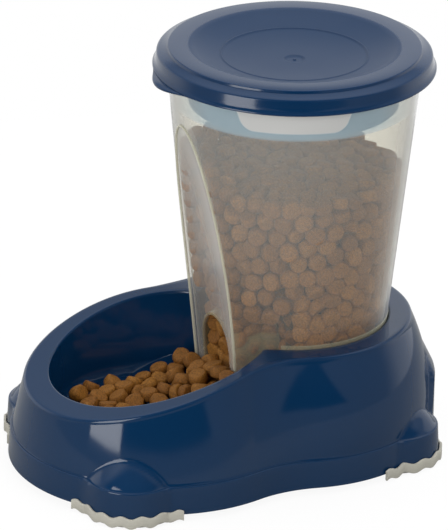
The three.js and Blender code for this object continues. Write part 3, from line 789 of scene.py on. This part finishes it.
def lid_profile():
    """(radius, height) from the middle of the top around the edge to the middle of the underside"""
    top = hopper_top + lid_rise
    skirt_r = bead_r + lid_clearance + lid_wall
    plateau_r, flange_r = skirt_r - plateau_inset, skirt_r + flange_out
    flange_foot, plug_foot, ledge = top - flange_drop, top - plug_drop, hopper_top + rest_gap
    stations = [[0.25, 0.8, 1.0, 1.3], np.linspace(1.6, 5.8, 4), np.linspace(6, 7.2, 6),
                np.linspace(8, 47, 14), np.linspace(47.5, 51.5, 17), np.linspace(53, dish_r - 3, 7)]
    points = [(r, float(lid_dish(r, top))) for r in np.concatenate(stations)]
    low = float(lid_dish(dish_r - 3, top))
    for f in np.linspace(0, 1, 9)[1:]:             # the dish's edge, rolled over into the plateau
        points.append((dish_r - 3 + 5.5 * f, top - (top - low) * (1 - f) ** 2.2))
    points += [(plateau_r - 1.0, top), (plateau_r - 0.3, top - 0.12), (plateau_r, top - 0.5),
               (plateau_r + 0.1, top - plateau_step + 0.5), (plateau_r + 0.5, top - plateau_step),
               (skirt_r - 1.8, top - shoulder_drop + 0.5), (skirt_r - 0.7, top - shoulder_drop),
               (skirt_r - 0.15, top - shoulder_drop - 0.6), (skirt_r + 0.05, top - shoulder_drop - 1.3),
               (skirt_r + 0.7, flange_foot + 5.2), (skirt_r + 1.35, flange_foot + 2.6),
               (flange_r - 0.5, flange_foot + 1.7), (flange_r, flange_foot + 1.2),
               (flange_r, flange_foot + 0.6)]
    # the lip in front: `out` and `down` are how far a point moves where the lip is widest
    for inwards, up, out, down in ((0, 0.55, tab_out - 0.6, 0), (0, 0.5, tab_out - 0.2, 0.3),
                                   (0, 0.4, tab_out, 1.0), (0.1, 0.15, tab_out - 0.3, 1.5),
                                   (0.3, 0, tab_out - 0.6, tab_drop), (lid_wall, 0, 0, tab_drop)):
        points.append((flange_r - inwards, flange_foot + up, out, down))
    points += [(flange_r - lid_wall - 0.05, flange_foot + 0.05),
               (skirt_r - lid_wall, top - skirt_drop - 1), (skirt_r - lid_wall, ledge),
               (plateau_r - lid_wall, ledge), (plateau_r - lid_wall, top - lid_wall),
               (plug_r, top - lid_wall), (plug_r, plug_foot + 0.4), (plug_r - 0.4, plug_foot),
               (plug_r - lid_wall + 0.4, plug_foot), (plug_r - lid_wall, plug_foot + 0.4)]
    for r in (plug_r - lid_wall - 0.2, 60, 50, 40, 25, 12, 1):
        points.append((r, top - lid_wall - dish_depth * (1 - (r / dish_r) ** dish_power)))
    return points


lid_navy = moulded_navy("moulded_navy_polypropylene_lid", ("#072c4e", "#0a3055"), 0.14, matt_within=dish_r)
around = np.linspace(-math.pi / 2, 1.5 * math.pi, 241)[:-1]
ring = np.column_stack([np.cos(around), np.sin(around)])
off_front = np.degrees(np.abs(np.angle(np.exp(1j * (around + math.pi / 2)))))
swell = np.cos(np.clip(off_front / tab_half_angle, 0, 1) * math.pi / 2) ** 2
lid_rows = []
for r, z, out, down in (tuple(point) + (0, 0) if len(point) == 2 else point for point in lid_profile()):
    lid_rows.append(np.column_stack([ring * (r + out * swell)[:, None], z - down * swell]))
lid = mesh_piece("lid_cap", *rings(lid_rows), lid_navy, sharp=50)
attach(lid, "lid")
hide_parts("lid")


# ---- dry food -------------------------------------------------------------------------------
# Pressed brown tablets fill the hopper and lie in a heap from its outlet across the bowl.
# Each tablet is placed by pushing tablets apart until they only touch, inside walls and floor;
# a Geometry Nodes tree then puts one of a few tablet shapes at each place.
food_r, food_half, shape_count, bowl_count = 6.9, 3.9, 10, 96
fill_top, fill_rise, core_depth = 202, 14, 17
beside_edge, behind_face, file_step = 5, 6, 12.5               # of the files of tablets up the edges


def support(normals, direction):
    """how far a tablet reaches from its middle along a unit direction"""
    cosine = np.abs(np.einsum("ij,ij->i", normals, direction))
    return food_half * cosine + food_r * np.sqrt(np.maximum(1 - cosine ** 2, 0))


def close_pairs(points, reach):
    """pairs of points nearer than `reach`, found by sorting them into cubes"""
    cells = np.floor(points / reach).astype(np.int64)
    cells -= cells.min(0) - 1
    span = cells.max(0) + 2
    key = (cells[:, 0] * span[1] + cells[:, 1]) * span[2] + cells[:, 2]
    order = np.argsort(key, kind="stable")
    found = key[order]
    pairs = []
    for dx in (-1, 0, 1):
        for dy in (-1, 0, 1):
            for dz in (-1, 0, 1):
                shifted = key + (dx * span[1] + dy) * span[2] + dz
                first, last = np.searchsorted(found, shifted), np.searchsorted(found, shifted, "right")
                for step in range(int((last - first).max(initial=0))):
                    mine = np.nonzero(first + step < last)[0]
                    other = order[first[mine] + step]
                    keep = mine < other
                    pairs.append(np.column_stack([mine[keep], other[keep]]))
    pairs = np.concatenate(pairs)
    near = np.linalg.norm(points[pairs[:, 0]] - points[pairs[:, 1]], axis=1) < reach
    return pairs[near]


def settle(points, normals, keep_inside, rounds, sink=0.0, overlap=0.9, held=0):
    """pushes tablets apart, keeps them inside and lets them sink a little; the last ones are held"""
    still = points[len(points) - held:].copy()
    for turn in range(rounds):
        if turn % 8 == 0:
            pairs = close_pairs(points, 2 * food_r + 1.5)
            a, b = pairs.T
        apart = points[b] - points[a]
        distance = np.maximum(np.linalg.norm(apart, axis=1), 1e-6)
        apart /= distance[:, None]
        needed = overlap * (support(normals[a], apart) + support(normals[b], apart))
        push = (np.maximum(needed - distance, 0) * 0.3)[:, None] * apart
        for axis, share in enumerate(push.T):
            points[:, axis] += np.bincount(b, share, len(points)) - np.bincount(a, share, len(points))
        points[:, 2] -= sink
        points[len(points) - held:] = still
        keep_inside(points, normals)
    return points


def push_back(points, normals, direction, room):
    """moves tablets back along a unit direction; room is the distance from middle to wall"""
    over = np.maximum(support(normals, direction) - room, 0)
    points -= over[:, None] * direction


def fill_level(x, y):
    """top of the food in the hopper, heaped a little against the wall at the left"""
    leftwards = -(x * level_right.x + y * level_right.y)
    return fill_top + fill_rise * np.clip((leftwards - 30) / 35, 0, 1)


def in_hopper(points, normals):
    """inside the wall, behind the flat front, over the floor, under the fill, beside or in the way out"""
    radius = np.maximum(np.hypot(points[:, 0], points[:, 1]), 1e-6)
    radial = np.column_stack([points[:, 0] / radius, points[:, 1] / radius, np.zeros(len(points))])
    push_back(points, normals, radial, hopper_r(points[:, 2]) - hopper_wall - 0.3 - radius)
    ahead = np.tile([0.0, -1.0, 0.0], (len(points), 1))
    push_back(points, normals, ahead, points[:, 1] - facet_y(points[:, 2], points[:, 0]) - hopper_wall - 0.3)
    down = np.tile([0.0, 0.0, -1.0], (len(points), 1))
    room = points[:, 2] - floor_front - floor_slope * (points[:, 1] + facet_ahead) - 0.3
    push_back(points, normals, down, room)
    push_back(points, normals, -down, fill_level(points[:, 0], points[:, 1]) + 1.5 - points[:, 2])
    ahead, z = -points[:, 1], points[:, 2]
    inwards = np.maximum(facet_ahead - ahead, 0)
    half = outlet_half_width + hood_splay * inwards
    beside_hood = (ahead > facet_ahead - hood_depth - 4) & (z < outlet_top + hood_lift * inwards + 7)
    in_way = beside_hood & (np.abs(points[:, 0]) < half)
    points[:, 0] = np.where(in_way, np.clip(points[:, 0], 5 - half, half - 5), points[:, 0])
    points[:, 1] = np.where(beside_hood & ~in_way, hood_depth - facet_ahead + 5, points[:, 1])


def heap_edge(y):
    """where the heap ends on the far side, a little ragged"""
    return np.interp(y, (-162, -150, -134, -112, -100, -88, -66, -56, -50),
                     (-10, -30, -47, -46, -40, -50, -49, -44, -37))


def heap_height(x, y):
    """top of the heap that lies in front of the outlet"""
    inside = np.maximum(x - heap_edge(y), 0)
    tall = np.interp(y, (-150, -110, -82, -60), (10, 14, 22, 27))
    return floor_height(x, y) + np.minimum(tall, 9 + 0.4 * np.maximum(inside - 9, 0))


def in_bowl(points, normals):
    """inside the bowl, over its floor, inside the heap and in front of the hopper, beside its outlet"""
    level = np.column_stack([points[:, 0], points[:, 1] - ray_y])
    reach = np.maximum(np.hypot(level[:, 0], level[:, 1]), 1e-6)
    rays = level / reach[:, None]
    room = inner_reach(rays, points[:, 2]) - 0.3 - reach
    push_back(points, normals, np.column_stack([rays, np.zeros(len(rays))]), room)
    down = np.tile([0.0, 0.0, -1.0], (len(points), 1))
    push_back(points, normals, -down, heap_height(points[:, 0], points[:, 1]) + 1 - points[:, 2])
    push_back(points, normals, down, points[:, 2] - floor_height(points[:, 0], points[:, 1]) - 0.1)
    points[:, 0] = np.maximum(points[:, 0], heap_edge(points[:, 1]) + 6)
    in_front = np.abs(points[:, 0]) > outlet_half_width - 4
    front = facet_y(points[:, 2], points[:, 0])
    over = np.where(in_front, np.maximum(points[:, 1] + food_r * 0.8 - front, 0), 0)
    points[:, 1] -= over


def tablet(name, seed, sides, rings_across):
    """a pressed tablet: flat faces, round edges and an outline that is not quite a circle"""
    rng = np.random.default_rng(seed)
    angle = np.arange(sides) / sides * 2 * math.pi
    corners = rng.integers(5, 8)
    wobble = 1 + 0.035 * np.cos(corners * angle + rng.uniform(0, 6))
    wobble = wobble + 0.05 * np.cos(2 * angle + rng.uniform(0, 6))
    rows = []
    for r, z in rings_across:
        lump = 1 + rng.normal(0, 0.012, sides)
        tilt = 0.12 * r * np.cos(angle + rng.uniform(0, 0.5)) * food_half * 0.3
        x, y = food_r * r * wobble * lump * np.cos(angle), food_r * r * wobble * lump * np.sin(angle)
        rows.append(np.column_stack([x, y, food_half * z + tilt]))
    vertices, faces = rings(rows)
    mesh = bpy.data.meshes.new(name)
    mesh.from_pydata((vertices * MM).tolist(), [], faces)
    turn_outwards(mesh)
    mesh.shade_smooth()
    return bpy.data.objects.new(name, mesh)


def tablets_material(name, pale, brown):
    """Baked meal pressed in a die: each tablet has a brown of its own, the coarse meal shows as
    darker specks and a crumbly skin, and fine pits leave hardly any gloss."""
    meal_size, pit_size = 10 / 9, 2 / 3                        # mm
    material, tree = new_material(name)
    place = add_node(tree, "ShaderNodeTexCoord").outputs["Object"]
    island = add_node(tree, "ShaderNodeNewGeometry").outputs["Random Per Island"]
    meal = add_node(tree, "ShaderNodeTexNoise", {"Vector": place, "Scale": 1 / (meal_size * MM),
                                                 "Detail": 6.0, "Roughness": 0.65})
    pits = add_node(tree, "ShaderNodeTexVoronoi", {"Vector": place, "Scale": 1 / (pit_size * MM)})
    bake = add_node(tree, "ShaderNodeMixRGB", {"Fac": island, "Color1": linear(pale),
                                               "Color2": linear(brown)})
    dark = add_node(tree, "ShaderNodeMapRange", {"Value": meal, "From Min": 0.35, "From Max": 0.6,
                                                 "To Min": 0.45, "To Max": 1.12})
    shade = add_node(tree, "ShaderNodeVectorMath", {0: bake, "Scale": dark}, operation="SCALE")
    rough = add_node(tree, "ShaderNodeBump", {"Height": meal, "Strength": 0.8, "Distance": 0.5 * MM})
    pitted = add_node(tree, "ShaderNodeBump", {"Height": pits, "Strength": 0.3, "Distance": 0.3 * MM,
                                               "Normal": rough})
    skin = add_node(tree, "ShaderNodeBsdfPrincipled", {"Base Color": shade, "Roughness": 0.72,
                                                       "Normal": pitted})
    add_node(tree, "ShaderNodeOutputMaterial", {0: skin})
    return material


def scatter_tree():
    """puts tablets from a collection at the corners of a mesh, turned and sized by its attributes"""
    tree = bpy.data.node_groups.new("tablets_at_places", "GeometryNodeTree")
    tree.interface.new_socket("Places", in_out="INPUT", socket_type="NodeSocketGeometry")
    tree.interface.new_socket("Shapes", in_out="INPUT", socket_type="NodeSocketCollection")
    tree.interface.new_socket("Skin", in_out="INPUT", socket_type="NodeSocketMaterial")
    tree.interface.new_socket("Seed", in_out="INPUT", socket_type="NodeSocketInt")
    tree.interface.new_socket("Tablets", in_out="OUTPUT", socket_type="NodeSocketGeometry")
    given = add_node(tree, "NodeGroupInput")
    shapes = add_node(tree, "GeometryNodeCollectionInfo", {"Collection": given.outputs["Shapes"],
                                                           "Separate Children": True, "Reset Children": True})
    turn = add_node(tree, "GeometryNodeInputNamedAttribute", {"Name": "turn"}, data_type="FLOAT_VECTOR")
    turn = add_node(tree, "FunctionNodeEulerToRotation", {"Euler": turn.outputs["Attribute"]})
    size = add_node(tree, "GeometryNodeInputNamedAttribute", {"Name": "size"}, data_type="FLOAT")
    which = add_node(tree, "FunctionNodeRandomValue", {"Seed": given.outputs["Seed"], 4: 0,
                                                       5: shape_count - 1}, data_type="INT")
    placed = add_node(tree, "GeometryNodeInstanceOnPoints",
                      {"Points": given.outputs["Places"], "Instance": shapes, "Pick Instance": True,
                       "Instance Index": which.outputs[2], "Rotation": turn,
                       "Scale": size.outputs["Attribute"]})
    solid = add_node(tree, "GeometryNodeRealizeInstances", {"Geometry": placed})
    skinned = add_node(tree, "GeometryNodeSetMaterial", {"Geometry": solid,
                                                         "Material": given.outputs["Skin"]})
    add_node(tree, "NodeGroupOutput", {0: skinned})
    return tree


def scatter(name, points, normals, shapes, seed):
    """one plain mesh of tablets at these places, each with its flat face along its normal"""
    rng = np.random.default_rng(seed)
    mesh = bpy.data.meshes.new(name)
    mesh.from_pydata(((points + [0, AXIS_Y, 0]) * MM).tolist(), [], [])
    turns = []
    for normal, spin in zip(normals, rng.uniform(0, 2 * math.pi, len(points))):
        turn = Vector(normal).to_track_quat("Z", "Y").to_matrix() @ Matrix.Rotation(spin, 3, "Z")
        turns.append(tuple(turn.to_euler()))
    sizes = rng.uniform(0.9, 1.04, len(points))
    mesh.attributes.new("turn", "FLOAT_VECTOR", "POINT").data.foreach_set("vector", np.ravel(turns))
    mesh.attributes.new("size", "FLOAT", "POINT").data.foreach_set("value", sizes)
    piece = bpy.data.objects.new(name, mesh)
    scene.collection.objects.link(piece)
    modifier = piece.modifiers.new("tablets", "NODES")
    modifier.node_group = place_tree
    named = {item.name: item.identifier for item in place_tree.interface.items_tree if item.in_out == "INPUT"}
    modifier[named["Shapes"]] = shapes
    modifier[named["Skin"]] = food_skin
    modifier[named["Seed"]] = seed
    plain = bpy.data.meshes.new_from_object(piece.evaluated_get(bpy.context.evaluated_depsgraph_get()))
    piece.modifiers.clear()
    piece.data = plain
    plain.name = name
    return piece


place_tree = scatter_tree()
food_skin = tablets_material("pressed_dry_food", "#87561c", "#a5702a")
# painted shade: the same food in darker browns, for the food deep inside that gets little light
shaded_food = tablets_material("pressed_dry_food_in_shade", "#4a341a", "#5a4120")
upper_edge = ((0.70, 1.0), (0.82, 0.98), (0.94, 0.78), (1.0, 0.35))      # shares of radius and height
across = upper_edge + tuple((r, -z) for r, z in upper_edge[::-1])
shapes = bpy.data.collections.new("tablet_shapes")
for seed in range(shape_count):
    shapes.objects.link(tablet(f"tablet_{seed}", seed, 10, across))

rng = np.random.default_rng(7)


def near_normal(lean, spread):
    """unit vectors that lean at random from the given ones"""
    lean = lean + rng.normal(0, spread, lean.shape)
    return lean / np.linalg.norm(lean, axis=1)[:, None]


def wall_layer(depth, spacing, spread):
    """tablets flat against the hopper's wall, in a skin `depth` mm inside it"""
    places, leans = [], []
    area = 2 * math.pi * 72 * (fill_top - 45)
    for _ in range(int(area / spacing ** 2)):
        z, angle = rng.uniform(50, fill_top + fill_rise), rng.uniform(0, 2 * math.pi)
        r = hopper_r(z) - hopper_wall - depth
        x, y = r * math.cos(angle), r * math.sin(angle)
        lean = (math.cos(angle), math.sin(angle), 0)
        if y < facet_y(z, x) + hopper_wall + depth:
            y = facet_y(z, x) + hopper_wall + depth
            x = rng.uniform(-1, 1) * math.sqrt(max(r * r - y * y, 1))
            lean = (0, -1, 0)
        if z < fill_level(x, y) - 2:
            places.append((x, y, z))
            leans.append(lean)
    return np.array(places), near_normal(np.array(leans), spread)


layers = [wall_layer(3.6, 12.6, 0.38), wall_layer(11, 13.2, 0.5)]
top_r = np.sqrt(rng.uniform(0, 1, 250)) * 74
top_angle = rng.uniform(0, 2 * math.pi, 250)
top = np.column_stack([top_r * np.cos(top_angle), top_r * np.sin(top_angle), rng.uniform(188, 204, 250)])
layers.append((top, near_normal(np.tile([0.0, 0.0, 1.0], (250, 1)), 0.5)))
way_out = np.column_stack([rng.uniform(-17, 17, 60), rng.uniform(-50, -28, 60), rng.uniform(56, 90, 60)])
layers.append((way_out, near_normal(np.tile([0.0, -1.0, 0.3], (60, 1)), 0.6)))
in_corners = []                                   # a file of tablets up each edge of the flat front
for z in np.arange(64, fill_top, file_step):
    for x in (beside_edge - edge_x(z), edge_x(z) - beside_edge):
        in_corners.append((x, facet_y(z, x) + behind_face, z))
layers.append((np.array(in_corners), np.tile([0.0, -1.0, 0.05], (len(in_corners), 1))))
places = np.concatenate([layer[0] for layer in layers])
normals = np.concatenate([layer[1] for layer in layers])
settle(places, normals, in_hopper, 120, held=len(in_corners))
hopper_food = scatter("food_in_hopper", places, normals, shapes, 3)
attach(hopper_food, "hopper")

# its darker browns are painted shade, for the food deep in the hopper
core_rows = []                                    # one dark piece stands for the tablets out of sight
for z in np.linspace(56, fill_top - 16, 12):
    row = hopper_row(np.linspace(0, 2 * math.pi, 61)[:-1], z, core_depth)
    row[:, 1] = np.maximum(row[:, 1], hood_depth - facet_ahead + 1)
    row[:, 2] = np.maximum(row[:, 2], floor_front + floor_slope * (row[:, 1] + facet_ahead) + 6)
    core_rows.append(row)
core = mesh_piece("food_in_hopper_middle", *rings(core_rows), shaded_food)
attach(core, "hopper")

tries = 5 * bowl_count
start_x, start_y = rng.uniform(-46, 64, tries), rng.uniform(-156, -48, tries)
tall = heap_height(start_x, start_y) - floor_height(start_x, start_y)
keep = (rng.uniform(0, 30, tries) < tall) & (start_x > heap_edge(start_y) + 5)
start_x, start_y, tall = (values[keep][:bowl_count] for values in (start_x, start_y, tall))
start_z = floor_height(start_x, start_y) + rng.uniform(0.1, 0.95, len(start_x)) * tall
heap = np.column_stack([start_x, start_y, start_z])
heap_normals = near_normal(np.tile([0.0, 0.0, 1.0], (len(heap), 1)), 0.42)
settle(heap, heap_normals, in_bowl, 160, sink=0.08, overlap=0.93)
bowl_food = scatter("food_in_bowl", heap, heap_normals, shapes, 5)
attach(bowl_food, "base")
